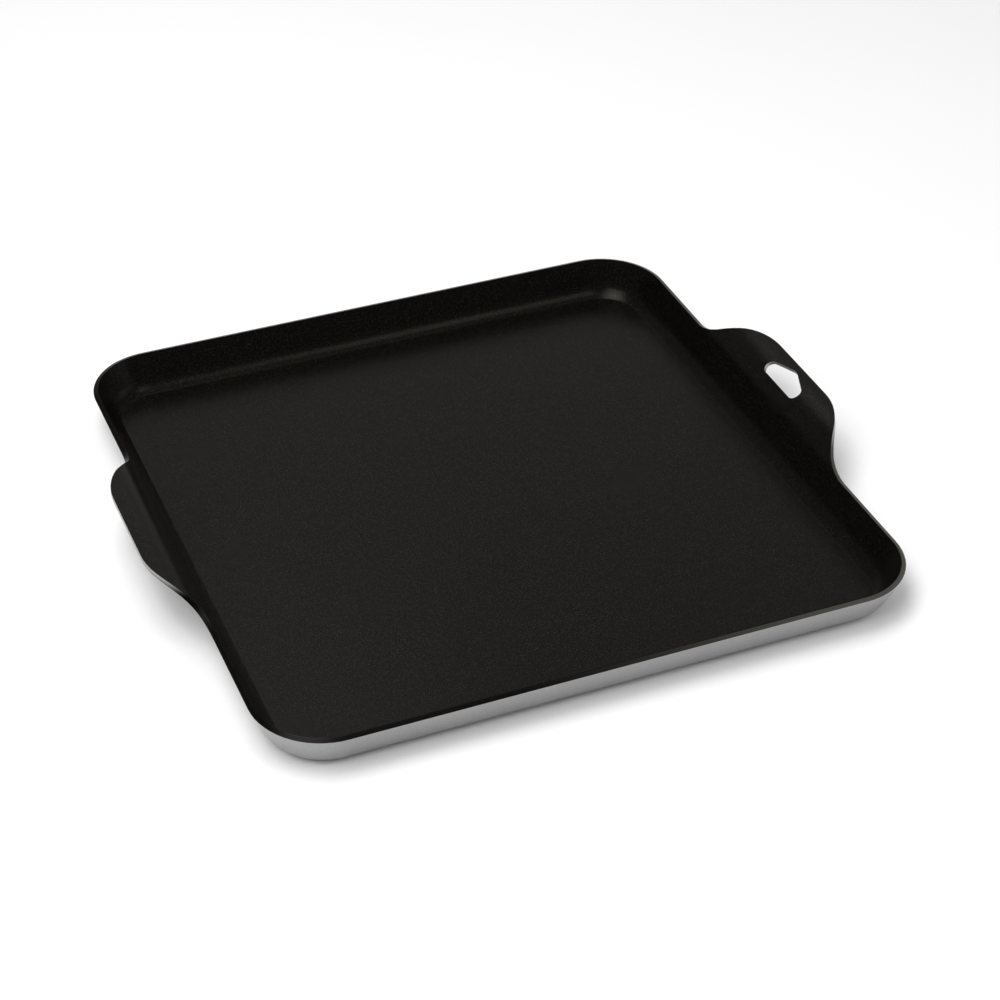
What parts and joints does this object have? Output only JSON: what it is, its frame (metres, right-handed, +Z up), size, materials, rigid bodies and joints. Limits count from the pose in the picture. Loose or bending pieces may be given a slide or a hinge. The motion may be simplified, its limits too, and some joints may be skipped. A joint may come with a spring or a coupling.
{
  "type": "griddle pan",
  "caption": "Shallow square griddle pan pressed from one metal sheet, with a flared ear on two opposite sides and a hang hole in one ear.",
  "frame": {"origin": "middle of the flat underside, on the surface that the pan rests on", "axes": "+Z up out of the pan, +X towards the ear with the hang hole, Y along the sides that have no ear"},
  "size_m": [0.311, 0.28, 0.0306],
  "materials": {
    "bare_metal": "satin, bare outside; black coat spilled over the cut rim",
    "nonstick_coat": "satin black non-stick with fine speckle"
  },
  "bodies": {
    "root": {"pan_body": "bare_metal", "nonstick_lining": "nonstick_coat"}
  },
  "joints": []
}
